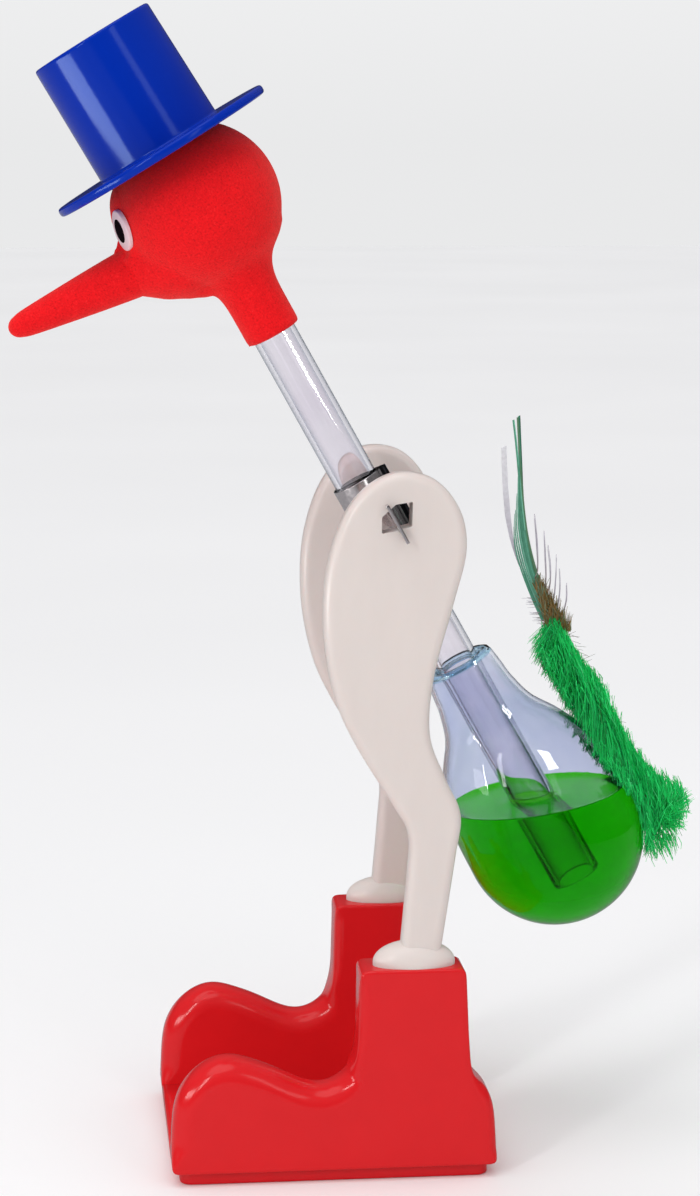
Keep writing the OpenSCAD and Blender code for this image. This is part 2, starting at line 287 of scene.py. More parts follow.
def combine(obj, other, operation="UNION", sharp=35):
    """Adds other to obj, or takes it away."""
    mod = obj.modifiers.new("combine", "BOOLEAN")
    mod.operation, mod.solver, mod.object = operation, "EXACT", other
    settle(obj)
    bpy.data.objects.remove(other)
    smooth(obj, sharp)


def finish_piece(obj, body, slot, *nodes):
    """Rides the piece on its body and puts it in the place of its CAD nodes; slot is not used."""
    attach(obj, body)
    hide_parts(*nodes)


class Strands:
    """Many thin tapering bars in one mesh, each with its own shade."""

    def __init__(self):
        self.verts, self.faces, self.shades = [], [], []

    def add(self, path, r_root, r_tip, shade, sides=3, tip_shade=None):
        """One bar along a path; its shade runs to tip_shade where that is given."""
        tip_shade = shade if tip_shade is None else tip_shade
        p = [Vector(q) for q in path]
        n = len(p)
        start = len(self.verts)
        for i, q in enumerate(p):
            along = (p[min(i + 1, n - 1)] - p[max(i - 1, 0)]).normalized()
            a = along.orthogonal().normalized()
            b = along.cross(a)
            t = i / (n - 1)
            r = r_root + (r_tip - r_root) * t
            for k in range(sides):
                w = TURN * k / sides
                self.verts.append(tuple(q + (a * math.cos(w) + b * math.sin(w)) * r))
                self.shades.append(shade + (tip_shade - shade) * t)
        for i in range(n - 1):
            for k in range(sides):
                j = (k + 1) % sides
                a, b = start + i * sides, start + (i + 1) * sides
                self.faces.append((a + k, a + j, b + j, b + k))
        self.faces.append(tuple(range(start, start + sides))[::-1])
        self.faces.append(tuple(range(len(self.verts) - sides, len(self.verts))))

    def build(self, name, place, material):
        """The bars as one piece, with their shades in the attribute "shade"."""
        obj = piece(name, (self.verts, self.faces), place, material, sharp=80)
        shade = obj.data.attributes.new("shade", "FLOAT", "POINT")
        shade.data.foreach_set("value", np.array(self.shades, np.float32))
        return obj


# ---- materials ----


class Look:
    """A material of one Principled shader, with short calls for the nodes that feed it."""

    def __init__(self, name, colour, roughness, on_bird=False, **values):
        self.m = bpy.data.materials.new(name)
        self.m.use_nodes = True
        self.nt = self.m.node_tree
        self.p = next(n for n in self.nt.nodes if n.type == "BSDF_PRINCIPLED")
        self.p.inputs["Base Color"].default_value = (*colour, 1)
        self.p.inputs["Roughness"].default_value = roughness
        self.m.diffuse_color = (*colour, 1)
        for k, v in values.items():
            self.p.inputs[k.replace("_", " ")].default_value = v
        self.where = self.new("TexCoord").outputs["Object"]
        if on_bird:
            n = self.new("Mapping", vector_type="TEXTURE")
            self.wire(n.inputs["Vector"], self.where)
            n.inputs["Location"].default_value = BIRD.translation
            n.inputs["Rotation"].default_value = BIRD.to_euler()
            self.where = n.outputs["Vector"]

    def new(self, kind, **values):
        """A new shader node with these settings."""
        n = self.nt.nodes.new("ShaderNode" + kind)
        for k, v in values.items():
            setattr(n, k, v)
        return n

    def wire(self, socket, value):
        """Links a node's output to the socket, or sets a plain value on it."""
        if isinstance(value, bpy.types.NodeSocket):
            self.nt.links.new(value, socket)
        else:
            socket.default_value = value

    def stretched(self, x, y, z):
        """Object coordinates scaled along each axis."""
        n = self.new("Mapping")
        self.wire(n.inputs["Vector"], self.where)
        n.inputs["Scale"].default_value = (x, y, z)
        return n.outputs["Vector"]

    def noise(self, size, detail=3.0, rough=0.55, vector=None):
        """Noise with spots of about this size, in millimetres."""
        n = self.new("TexNoise")
        self.wire(n.inputs["Vector"], vector or self.where)
        self.wire(n.inputs["Scale"], 1 / (size * MM))
        self.wire(n.inputs["Detail"], detail)
        self.wire(n.inputs["Roughness"], rough)
        return n.outputs["Fac"]

    def ramp(self, value, *stops):
        """A colour ramp; each stop is a position and a colour or a grey."""
        n = self.new("ValToRGB")
        self.wire(n.inputs["Fac"], value)
        elements = n.color_ramp.elements
        while len(elements) < len(stops):
            elements.new(0.5)
        for item, (at, c) in zip(elements, stops):
            item.position = at
            c = c if hasattr(c, "__len__") else (c, c, c)
            item.color = (*c, 1)
        return n.outputs["Color"]

    def mix(self, fac, a, b, blend="MIX"):
        """Colour a, turned into colour b as fac goes from 0 to 1."""
        n = self.new("Mix", data_type="RGBA", blend_type=blend)
        self.wire(n.inputs[0], fac)
        for socket, c in ((n.inputs[6], a), (n.inputs[7], b)):
            self.wire(socket, c if isinstance(c, bpy.types.NodeSocket) else (*c, 1))
        return n.outputs[2]

    def math(self, operation, a, b=0.0, c=0.0):
        """The result of a Math node."""
        n = self.new("Math", operation=operation)
        for socket, v in zip(n.inputs, (a, b, c)):
            self.wire(socket, v)
        return n.outputs[0]

    def axis(self, letter):
        """One coordinate, in metres."""
        n = self.new("SeparateXYZ")
        self.wire(n.inputs[0], self.where)
        return n.outputs[letter]

    def attribute(self, name):
        """A number stored on the mesh."""
        return self.new("Attribute", attribute_name=name).outputs["Fac"]

    def colour(self, value):
        """Feeds the shader's colour."""
        self.wire(self.p.inputs["Base Color"], value)

    def rough(self, value):
        """Feeds the shader's roughness."""
        self.wire(self.p.inputs["Roughness"], value)

    def bump(self, height, distance, strength=1.0, after=None):
        """Bumps of this height in millimetres, on top of the normal called after."""
        n = self.new("Bump")
        self.wire(n.inputs["Height"], height)
        n.inputs["Distance"].default_value = distance * MM
        n.inputs["Strength"].default_value = strength
        if after is not None:
            self.wire(n.inputs["Normal"], after)
        self.wire(self.p.inputs["Normal"], n.outputs["Normal"])
        return n.outputs["Normal"]


def tone(c, k):
    """The colour c made k times as bright."""
    return tuple(min(1.0, x * k) for x in c)


def plastic(name, colour, roughness, flow=(1, 1, 1), on_bird=False, **values):
    """Moulded plastic: faint flow marks, an uneven gloss, a fine skin and handling scratches."""
    look = Look(name, colour, roughness, on_bird, **values)
    flow_marks = look.noise(9, 4, 0.6, look.stretched(*flow))
    look.colour(
        look.ramp(
            flow_marks, (0.3, tone(colour, 0.975)), (0.5, colour), (0.72, tone(colour, 1.025))
        )
    )
    smear = look.noise(3.5, 5, 0.65)
    look.rough(
        look.ramp(smear, (0.3, roughness * 0.92), (0.55, roughness), (0.8, roughness * 1.15))
    )
    skin_bump = look.bump(look.noise(1.3, 3, 0.5), 0.0022)
    scratch = look.noise(0.5, 2, 0.4, look.stretched(0.12, 1, 1))
    look.bump(scratch, 0.0009, 1.0, skin_bump)
    return look.m


def felt(name, colour):
    """Flock on felt: a mottled pile of short fibres."""
    sheen = {"Sheen_Weight": 0.35, "Sheen_Roughness": 0.45, "Sheen_Tint": (1.0, 0.32, 0.25, 1)}
    look = Look(name, colour, 0.95, True, Specular_IOR_Level=0.15, **sheen)
    speck = look.noise(0.32, 3, 0.7)
    cloud = look.noise(2.2, 4, 0.6)
    fine = look.ramp(
        speck,
        (0.26, tone(colour, 0.6)),
        (0.44, tone(colour, 0.92)),
        (0.6, colour),
        (0.8, (1.0, 0.05, 0.05)),
    )
    look.colour(
        look.mix(0.5, fine, look.ramp(cloud, (0.3, 0.85), (0.7, 1.0)), "MULTIPLY")
    )
    pile = look.bump(look.noise(0.3, 3, 0.8), 0.16, 0.8)
    look.bump(look.noise(1.1, 2, 0.5), 0.1, 0.6, pile)
    return look.m


def clear_glass(name, tint, shine, ior=1.5, seal=None, painted_rim_at=(0.62, 0.95)):
    """Drawn glass: faintly tinted, with draw lines along the tube and a painted dark edge.
    The edge is painted shade, for the dark edges that refraction and reflection give real glass.

    shine scales the reflections. seal is the height, in millimetres, above which the tint is that of the
    thick ring seal. The last argument says where the painted dark edge starts and where it is darkest: 0
    faces the viewer and 1 is edge-on.
    """
    look = Look(name, tint, 0.0, True, Transmission_Weight=1.0, IOR=ior, Specular_Tint=(*[shine] * 3, 1))
    pale = tuple(min(1.0, 0.6 * c + 0.4) for c in tint)
    colour = look.ramp(look.noise(14, 3), (0.35, tint), (0.65, pale))
    if seal is not None:
        above = look.math("GREATER_THAN", look.axis("Z"), seal * MM)
        colour = look.mix(above, colour, (0.36, 0.57, 0.72))
    # Painted shade: the colour darkens where the glass is seen edge-on, standing in for the dark edges of
    # real glass
    facing = look.new("LayerWeight").outputs["Facing"]
    painted_dark_rim = look.ramp(facing, (painted_rim_at[0], 0.0), (painted_rim_at[1], 1.0))
    look.colour(look.mix(painted_dark_rim, colour, (0.12, 0.18, 0.24)))
    look.rough(look.ramp(look.noise(5, 4), (0.45, 0.0), (0.9, 0.035)))
    look.bump(look.noise(1.6, 2, 0.5, look.stretched(1, 1, 0.05)), 0.012)
    return look.m


def green_liquid():
    """Dyed liquid. Its skin carries most of the dye, except beside the tube, and its depth adds to it."""
    undyed = (0.93, 1.0, 0.9)
    dull = (0.15, 0.15, 0.15, 1)
    look = Look("green_liquid", undyed, 0.0, True, Transmission_Weight=1.0, IOR=1.14, Specular_Tint=dull)
    dye = look.ramp(look.noise(11, 3), (0.3, (0.05, 0.68, 0.006)), (0.7, (0.065, 0.73, 0.01)))
    x, y = look.axis("X"), look.axis("Y")
    off_axis = look.math("ADD", look.math("MULTIPLY", x, x), look.math("MULTIPLY", y, y))
    beside_tube = look.math("LESS_THAN", off_axis, ((TUBE_R + 0.2) * MM) ** 2)
    look.colour(look.mix(beside_tube, dye, undyed))
    volume = look.new("VolumeAbsorption")
    volume.inputs["Color"].default_value = (0.4, 0.9, 0.02, 1)
    volume.inputs["Density"].default_value = 120.0
    out = next(n for n in look.nt.nodes if n.type == "OUTPUT_MATERIAL")
    look.nt.links.new(volume.outputs[0], out.inputs["Volume"])
    return look.m


def steel():
    """Bright strip with the marks of rolling; the pinched ends behind the strap are painted near black, a
    painted reflection of dim surroundings.
    """
    look = Look("clip_steel", (0.62, 0.58, 0.58), 0.22, True, Metallic=1.0)
    grain = look.noise(0.5, 3, 0.6, look.stretched(0.05, 1, 1))
    base = look.ramp(grain, (0.3, (0.6, 0.56, 0.57)), (0.7, (0.74, 0.69, 0.69)))
    # Painted reflection: the pinched ends get a near-black colour that stands in for dim surroundings
    # mirrored in polished steel
    behind_strap = 0.0041
    dark = look.math("GREATER_THAN", look.axis("Y"), behind_strap)
    look.colour(look.mix(dark, base, (0.03, 0.03, 0.035)))
    look.rough(look.ramp(grain, (0.3, 0.14), (0.7, 0.24)))
    look.bump(grain, 0.003)
    return look.m


def feather(name, *stops):
    """Soft barbs, coloured by their shade through the ramp's stops."""
    sheen = {"Sheen_Weight": 0.1, "Sheen_Roughness": 0.4}
    look = Look(name, (0.05, 0.4, 0.15), 0.6, True, Specular_IOR_Level=0.2, **sheen)
    base = look.ramp(look.attribute("shade"), *stops)
    mottle = look.ramp(look.noise(0.8, 3), (0.3, 0.78), (0.7, 1.0))
    look.colour(look.mix(0.8, base, mottle, "MULTIPLY"))
    look.rough(look.ramp(look.noise(0.6, 2), (0.3, 0.45), (0.7, 0.75)))
    return look.m


RED = plastic("red_plastic", (0.72, 0.013, 0.017), 0.16, IOR=1.37)
SOLE = plastic("red_sole", (0.72, 0.006, 0.012), 0.3, IOR=1.4)
IVORY = plastic(
    "ivory_plastic",
    (0.77, 0.69, 0.65),
    0.3,
    flow=(1, 1, 0.35),
    Subsurface_Weight=0.2,
    Subsurface_Radius=(1.0, 0.6, 0.5),
    Subsurface_Scale=0.0012,
)
BLUE = plastic(
    "blue_plastic", (0.001, 0.027, 0.4), 0.13, on_bird=True, IOR=1.36, Specular_Tint=(0.5, 0.7, 1.0, 1)
)
FELT = felt("red_felt", (1.0, 0.008, 0.013))
# Each glass gets a painted dark edge, painted shade; the tube's reaches further in from its outline
GLASS = clear_glass("clear_glass", (0.68, 0.72, 0.86), 0.35)
BULB_GLASS = clear_glass("bulb_glass", (0.68, 0.72, 0.86), 0.6, 1.32, bulb_hi[2] - 0.9)
TUBE_GLASS = clear_glass("tube_glass", (0.88, 0.85, 0.9), 0.8, painted_rim_at=(0.2, 0.9))
LIQUID = green_liquid()
STEEL = steel()
EYE_WHITE = plastic("eye_white", (0.92, 0.68, 0.72), 0.3)
PUPIL = plastic("pupil_black", (0.006, 0.002, 0.004), 0.8, IOR=1.2, Specular_IOR_Level=0.1)
QUILL = plastic("quill", (0.09, 0.22, 0.11), 0.5, flow=(1, 1, 0.2))
GLUE = plastic("glue", (0.7, 0.66, 0.5), 0.2, Subsurface_Weight=0.3, Subsurface_Scale=0.001)
CORE = plastic("beak_core", (0.6, 0.5, 0.36), 0.6)
DOWN = feather(
    "green_down",
    (0.0, (0.03, 0.03, 0.015)),
    (0.12, (0.14, 0.13, 0.04)),
    (0.22, (0.003, 0.32, 0.09)),
    (0.55, (0.004, 0.68, 0.13)),
    (0.85, (0.02, 0.88, 0.2)),
    (1.0, (0.15, 0.97, 0.4)),
)
VANE = feather(
    "green_vane",
    (0.0, (0.01, 0.06, 0.035)),
    (0.15, (0.04, 0.22, 0.13)),
    (0.4, (0.16, 0.5, 0.34)),
    (0.5, (0.3, 0.68, 0.52)),
    (0.6, (0.2, 0.13, 0.025)),
    (0.68, (0.36, 0.22, 0.09)),
    (0.8, (0.55, 0.52, 0.6)),
    (1.0, (0.92, 0.92, 0.95)),
)

# ---- stand ----

HALF_L, SOLE_T = base_hi[1], base_lo[2]
BOOT_TOP = base_hi[2]
BOOT_W = 8.0

# Outline of a boot from the side, as [y, z]: over the toe and up the shaft, then down the back
boot_front = [[-HALF_L, SOLE_T], [-25.2, 9.5], [-24.2, 14.2], [-21.2, 18], [-16.7, 19.9]]
boot_front += [[-10.7, 18.2], [-3.6, 15.1], [0.6, 15.9], [3.2, 19.4], [3.7, 26]]
boot_rear = [[20.5, 29], [20.9, 21], [21.5, 16.6], [23.7, 14.2], [24.9, 10.4], [HALF_L, SOLE_T]]
boot_line = [*spline(boot_front, 8), [3.9, BOOT_TOP], [20.3, BOOT_TOP], *spline(boot_rear, 8)]
boot_line = eased(resampled(boot_line, 0.4), 8)


def step01(x, a, b):
    """0 below a, 1 above b, and a smooth step between them."""
    t = np.clip((x - a) / (b - a), 0, 1)
    return t * t * (3 - 2 * t)


# The edges' radius: small at the sole, larger at the heel and along the shaft, largest over the toe
along_y, up_z = boot_line[:, 0], boot_line[:, 1]
heel = step01(along_y, 20.9, 23.5) * step01(up_z, 2.2, 5.0)
toe = (1 - step01(along_y, 1.8, 3.6)) * step01(up_z, 2.2, 7.5)
shaft = step01(up_z, 18, 24) * (1 - step01(up_z, 31, 33)) * (1 - step01(along_y, 4, 6))
boot_fillet = 0.5 + 1.1 * heel + 2.7 * toe * (1 - step01(up_z, 20.5, 27)) + 1.0 * shaft
outer, inner = base_hi[0], base_hi[0] - BOOT_W

# The floor web between the boots, which reaches a little way into both
WEB_T, WEB_LAP = 1.8, 0.8
web_end, web_top = HALF_L - 0.1, SOLE_T + WEB_T
web = [[-web_end, SOLE_T], [-web_end, web_top], [web_end, web_top], [web_end, SOLE_T]]
web = eased(resampled(web, 0.25), 2)
boot_parts = [slab(boot_line, inner, outer, boot_fillet, "wuv")]
boot_parts.append(slab(boot_line, -outer, -inner, boot_fillet, "wuv"))
boot_parts.append(slab(web, -inner - WEB_LAP, inner + WEB_LAP, 0.1, "wuv", 2))
boots = piece("boots", joined(*boot_parts), STAND, RED)
finish_piece(boots, "stand", "red_plastic", "base_shell")

# The sole plate: a rectangle whose points near a corner are pulled onto an arc
CORNER_R, SOLE_LAP = 2.0, 0.05
half_w, half_l = sole_hi[0], sole_hi[1]
sole_line = [[-half_w, -half_l], [half_w, -half_l], [half_w, half_l], [-half_w, half_l]]
sole_line = resampled(sole_line, 0.5)
near_corner = np.maximum(np.abs(sole_line) - [half_w - CORNER_R, half_l - CORNER_R], 0)
reach = np.linalg.norm(near_corner, axis=1)
both = (near_corner > 0).all(1)
pull = np.where(both, CORNER_R / np.maximum(reach, 1e-9), 1)
sole_line = np.sign(sole_line) * (np.abs(sole_line) - near_corner + near_corner * pull[:, None])
sole_shape = slab(sole_line, sole_lo[2], sole_hi[2] + SOLE_LAP, 0.3, "uvw", 4)
sole = piece("sole", sole_shape, STAND, SOLE)
finish_piece(sole, "stand", "red_sole", "sole_plate")

# Outline of a leg from the side, as [y, z], up its front, round the hip and down its back
leg_line = [[10, BOOT_TOP - 1], [11.3, 47], [11.6, 54], [9.4, 58.6], [3.4, 68.5], [0.2, 76], [-1.5, 86]]
leg_line += [[-0.9, 96.5], [2.6, 105.6], [8.6, 110.2], [15, 109.5], [19.2, 104.8], [20.3, 98.5]]
leg_line += [[18.4, 90.4], [15.4, 79], [14.8, 70], [17.2, 63.2], [19.6, 57.4], [18.8, 50.5]]
leg_line += [[16.1, BOOT_TOP - 1]]
leg_line = resampled(spline(leg_line, 12), 0.6)
# The hole for the clip's arm, as [y, z] from the pivot
hip_hole = [[0.25, -0.1], [1.9, 0.3], [2, 4.1], [-0.6, 3.7], [-2.7, 1.8], [-2.7, -0.75]]
hip_hole += [[-0.15, -0.25]]
FLANGE = (3.3, 6.4, 3.9)
ANKLE_Y = 12.5
LEG_T, LEG_EDGE = 4.2, 1.45
leg_x = leg_hi[0] - FLANGE[0]
for side, name in ((1, "left"), (-1, "right")):
    x = side * leg_x
    leg = piece(
        "leg_" + name + "_moulding",
        slab(leg_line, x - LEG_T / 2, x + LEG_T / 2, LEG_EDGE, "wuv", 8),
        STAND,
        IVORY,
    )
    dome = [(0, -0.4), (1, -0.4), (1, 0.14)]
    dome += [(math.cos(a), 0.14 + 0.86 * math.sin(a)) for a in np.linspace(0.12, 1.5, 12)]
    dome += [(0, 1.0)]
    rings = [
        [
            (x + FLANGE[0] * px, ANKLE_Y + FLANGE[1] * py, BOOT_TOP + FLANGE[2] * pz)
            for px, py, pz in ring
        ]
        for ring in turned_rings(dome, 80)
    ]
    combine(leg, piece("dome", skin(rings), STAND, IVORY))
    hole = eased(resampled(hip_hole, 0.15), 2) + [PIVOT.y / MM, PIVOT.z / MM]
    drill = slab(hole, x - LEG_T, x + LEG_T, 0.05, "wuv", 1)
    combine(leg, piece("hole", drill, STAND, IVORY), "DIFFERENCE")
    finish_piece(leg, "stand", "ivory_plastic", "leg_" + name)

# ---- pivot clip ----

clip_lo, clip_hi = span("pivot_clip", BIRD)
# STRIP is half the strip's thickness. The strap goes round the tube, its two ends side by side behind it
STRIP = 0.25
PINCH_X, PINCH_START, GAP_ANGLE = 0.3, 0.75, 0.3
strap_r = TUBE_R + 0.05 + STRIP
pinch_y = clip_hi[1] - 0.15
path = [(PINCH_X, pinch_y), (PINCH_X, strap_r + PINCH_START)]
path += [
    (strap_r * math.sin(a), strap_r * math.cos(a))
    for a in np.linspace(GAP_ANGLE, TURN - GAP_ANGLE, 60)
]
path += [(-PINCH_X, strap_r + PINCH_START), (-PINCH_X, pinch_y)]
path = resampled(path, 0.25, closed=False)
for _ in range(3):
    path[1:-1] = (path[:-2] + 2 * path[1:-1] + path[2:]) / 4
t = np.gradient(path, axis=0)
nrm = np.stack([t[:, 1], -t[:, 0]], 1) / np.linalg.norm(t, axis=1)[:, None]
strip = np.vstack([path + nrm * STRIP * 0.9, (path - nrm * STRIP * 0.9)[::-1]])
clip_parts = [slab(strip, clip_lo[2], clip_hi[2], 0.08, "uvw", 3)]
# Each arm is wide beside the tube, narrow through the leg's hole and wide again outside the leg
ARM_START, LEG_GAP = 3.45, 0.35
arm_in, arm_out = leg_x - LEG_T / 2 - LEG_GAP, leg_x + LEG_T / 2 + LEG_GAP
PIVOT_BACK = (BIRD.inverted() @ PIVOT).y / MM


def arm_edge(tab, neck):
    """One long edge of an arm, at height tab where it is wide and at height neck in the hole."""
    wide = [(ARM_START, tab), (arm_in, tab)]
    narrow = [(arm_in, neck), (arm_out, neck)]
    return wide + narrow + [(arm_out, tab), (clip_hi[0], tab)]


for side in (1, -1):
    arm = arm_edge(-2.3, -0.22) + arm_edge(4.4, 2.0)[::-1]
    arm = eased(resampled([(side * u, v) for u, v in arm], 0.15), 2)
    clip_parts.append(slab(arm, PIVOT_BACK - STRIP, PIVOT_BACK + STRIP, 0.08, "uwv", 3))
clip = piece("pivot_clip_strip", joined(*clip_parts), BIRD, STEEL)
finish_piece(clip, "clip", "clip_steel", "pivot_clip")

# ---- glass and liquid ----

tube_low, tube_top = tube_lo[2], tube_hi[2]
ring = [(TUBE_BORE, 0), (TUBE_BORE, tube_low), (TUBE_R, tube_low), (TUBE_R, tube_top)]
ring += [(TUBE_BORE, tube_top), (TUBE_BORE, 0)]
ring = rounded(ring, [0.25, 0.35, 0.2, 0.2])[:-1]
tube = piece("glass_tube", skin(turned_rings(ring, 96), close=True), BIRD, TUBE_GLASS)
finish_piece(tube, "bird", "clear_glass", "neck_tube")

# Outline of the tail bulb as (radius, height): its neck, and below BULB_Z the lower half of a ball
COLLAR, BULB_Z, BULB_R, WALL = bulb_hi[2], -60.0, bulb_hi[0], 0.6
neck_line = [[5.8, COLLAR - 0.9], [6.2, -30.5], [6.6, -33.5], [7.9, -37.8], [10.7, -42.2]]
neck_line += [[13.2, -47.6], [14.2, -53], [BULB_R, BULB_Z]]
neck_line = spline(neck_line, 8)
ball_line = [
    (BULB_R * math.cos(a), BULB_Z + BULB_R * math.sin(a))
    for a in np.linspace(-0.06, -math.pi / 2, 40)
]
bulb_side = np.array([tuple(q) for q in neck_line] + ball_line)
bulb_side[-1, 0] = 0


def inset(line, t):
    """The line moved t towards the axis along its normals."""
    d = np.gradient(line, axis=0)
    n = np.stack([d[:, 1], -d[:, 0]], 1) / np.linalg.norm(d, axis=1)[:, None]
    out = line + n * t
    out[-1, 0] = 0
    return out


# The wall's inner side, the ring seal round the tube and its lip, then the outer side
inner_side = inset(bulb_side, WALL)
inner_up = [tuple(q) for q in inner_side[::-1] if q[1] < COLLAR - 1.5]
seal = [(1.45, 0.9), (1.0, 0.65), (0.4, 0.75)]
lip = [(0.02, 1.1), (0.02, 0.5), (0.45, 0.08), (1.45, 0), (2.05, 0.3)]
seal_and_lip = [(TUBE_R + out, COLLAR - below) for out, below in seal + lip]
profile = inner_up + seal_and_lip + [tuple(q) for q in bulb_side]
bulb = piece("glass_bulb", lathe(profile, 128), BIRD, BULB_GLASS)
finish_piece(bulb, "bird", "clear_glass", "tail_bulb")

# The liquid laps a little into the glass. Its surface, frozen in the bird's axes, slopes across the neck
GLASS_LAP = 0.06
wet_side = inset(bulb_side, WALL - GLASS_LAP)[::-1]
FILL, SLOPE = -53.2, math.tan(math.radians(20))


def wall_at(z):
    """Radius of the liquid's side at height z."""
    return np.interp(z, wet_side[:, 1], wet_side[:, 0])


def fill_z(y):
    """Height of the liquid's surface at y, without the climb at its edges."""
    return FILL - SLOPE * y


# The edge where the surface meets the glass: a first guess, moved halfway to the wall each time
AROUND, CLIMB = 128, 0.7
azimuth = np.linspace(0, TURN, AROUND, endpoint=False)
sin_a, cos_a = np.sin(azimuth), np.cos(azimuth)
edge_r = np.full(AROUND, 12.0)
for _ in range(60):
    edge_r = 0.5 * edge_r + 0.5 * wall_at(fill_z(edge_r * sin_a) + CLIMB)
edge_z = fill_z(edge_r * sin_a) + CLIMB


def ring_of(radius, z):
    """A ring round the neck's axis; radius and z are one number each or one for each point."""
    radius = np.broadcast_to(radius, AROUND)
    return np.stack([radius * cos_a, radius * sin_a, np.broadcast_to(z, AROUND)], 1)


# One closed skin: up the bulb's wall, in over the surface, down round the tube's end and up its bore
WALL_RINGS, SURFACE_RINGS, COLUMN_RINGS = 40, 24, 7
low_z = wet_side[0, 1]
rings = [[(0, 0, low_z)]]
for k in range(1, WALL_RINGS + 1):
    share = math.sin(math.pi / 2 * k / WALL_RINGS) ** 2 if k < WALL_RINGS else 1.0
    z = low_z + (edge_z - low_z) * share
    rings.append(ring_of(wall_at(z), z))
outside_r, bore_r = TUBE_R - 0.05, TUBE_BORE + 0.05
for k in range(1, SURFACE_RINGS + 1):
    t = (k / SURFACE_RINGS) ** 1.5
    r = edge_r - (edge_r - outside_r) * (t if k < SURFACE_RINGS else 1)
    climb = CLIMB * np.exp(-(edge_r - r) / 0.75) + 0.6 * np.exp(-(r - outside_r) / 0.6)
    rings.append(ring_of(r, fill_z(r * sin_a) + climb))
rings.append(ring_of(outside_r, tube_low + 0.4))
rings.append(ring_of(outside_r - 0.2, tube_low + 0.05))
rings.append(ring_of(bore_r + 0.2, tube_low + 0.05))
rings.append(ring_of(bore_r, tube_low + 0.4))
COLUMN_UP = 0.25
for k in range(COLUMN_RINGS):
    r = bore_r * (1 - k / COLUMN_RINGS)
    rings.append(ring_of(r, fill_z(r * sin_a) + COLUMN_UP + 0.8 * (r / bore_r) ** 3))
rings.append([(0, 0, FILL + COLUMN_UP)])
liquid = piece("green_liquid", skin(rings), BIRD, LIQUID, sharp=70)
finish_piece(liquid, "bird", "green_fluid", "working_fluid", "fluid_column")

# ---- head ----

head_lo, head_hi = span("head_cover", BIRD)
HEAD_R, HEAD_Y, HEAD_Z = head_hi[0], -0.5, 56.0
SLEEVE_R, SLEEVE_Z = TUBE_R + 1.0, head_lo[2]
HAT = BIRD @ moved(0, -1.5, 66) @ turned(2.5, "X")
BEAK = BIRD @ moved(0, -13.2, 51.8) @ turned(86, "X")


def ball(centre, r, n=64):
    """Verts and faces of a ball."""
    at = np.linspace(-math.pi / 2, math.pi / 2, n // 2)
    half_circle = [(r * math.cos(a), r * math.sin(a)) for a in at[1:-1]]
    rings = turned_rings([(0, r * math.sin(at[0]))] + half_circle + [(0, r * math.sin(at[-1]))], n)
    rings = [[(x + centre[0], y + centre[1], z + centre[2]) for x, y, z in q] for q in rings]
    return skin(rings)


# The sleeve down the neck, as (radius, height), and balls, as (centre, radius), for brow and muzzle
sleeve = rounded([(0, SLEEVE_Z), (SLEEVE_R, SLEEVE_Z), (SLEEVE_R, SLEEVE_Z + 1)], [0.3], 4)
flare = [[SLEEVE_R, 37], [SLEEVE_R + 0.2, 41], [SLEEVE_R + 1.4, 44], [8.6, 46.4], [10.0, 48]]
sleeve = [tuple(q) for q in [*sleeve, *spline(flare, 6)]]
sleeve += [(0, 50)]
muzzle = [((0, -5.2, 46.6), 3.9), ((0, -6.6, 48.6), 5.1), ((0, -4.5, 53.6), 9.2)]
muzzle += [((0, -6.5, 59.1), 7.05), ((0, -8.2, 57.3), 6.35), ((0, -9.85, 55.5), 5.65)]
muzzle += [((0, -11.5, 53.6), 4.9), ((0, -6.6, 51.6), 7.7), ((0, -8.4, 51.2), 6.6)]
muzzle += [((0, -10.2, 51.3), 5.6), ((0, -11.8, 51.5), 4.8), ((0, -13.2, 51.8), 4.15)]
parts = [ball((0, HEAD_Y, HEAD_Z), HEAD_R, 96), lathe(sleeve, 72)]
parts += [ball(c, r, 48) for c, r in muzzle]
head = piece("felt_head", joined(*parts), BIRD, FELT, sharp=180)


def rewoven(obj):
    """Turns the mesh into one even skin."""
    mod = obj.modifiers.new("remesh", "REMESH")
    mod.mode, mod.voxel_size = "VOXEL", 0.4 * MM
    settle(obj)


rewoven(head)
# The head is first hollowed softly round each eye, and each disc gets its crisp seat further down
EYE_R, EYE_OUT, PUPIL_R = 3.25, 0.5, 1.9
CUT_OUT = HEAD_R + 3
eyes = {
    name: BIRD @ moved(0, HEAD_Y, HEAD_Z) @ turned(side * 15.5, "Z") @ turned(79, "X")
    for side, name in ((1, "left"), (-1, "right"))
}
for at in eyes.values():
    hollow = [(0, HEAD_R + 0.05), (EYE_R + 0.3, HEAD_R + 0.05), (EYE_R + 1.2, HEAD_R + 1.0)]
    hollow += [(EYE_R + 1.2, CUT_OUT), (0, CUT_OUT)]
    combine(head, piece("hollow", lathe(hollow, 72), at, FELT), "DIFFERENCE", 180)
rewoven(head)
mod = head.modifiers.new("smooth", "SMOOTH")
mod.factor, mod.iterations = 0.5, 12
settle(head)
head.data.materials.clear()
head.data.materials.append(FELT)
hole_r, hole_low, hole_top = TUBE_R + 0.04, SLEEVE_Z - 2, 46
bore = [(0, hole_low), (hole_r, hole_low), (hole_r, hole_top), (0, hole_top)]
combine(head, piece("bore", lathe(bore, 72), BIRD, FELT), "DIFFERENCE", 50)
finish_piece(head, "bird", "red_felt", "head_cover")

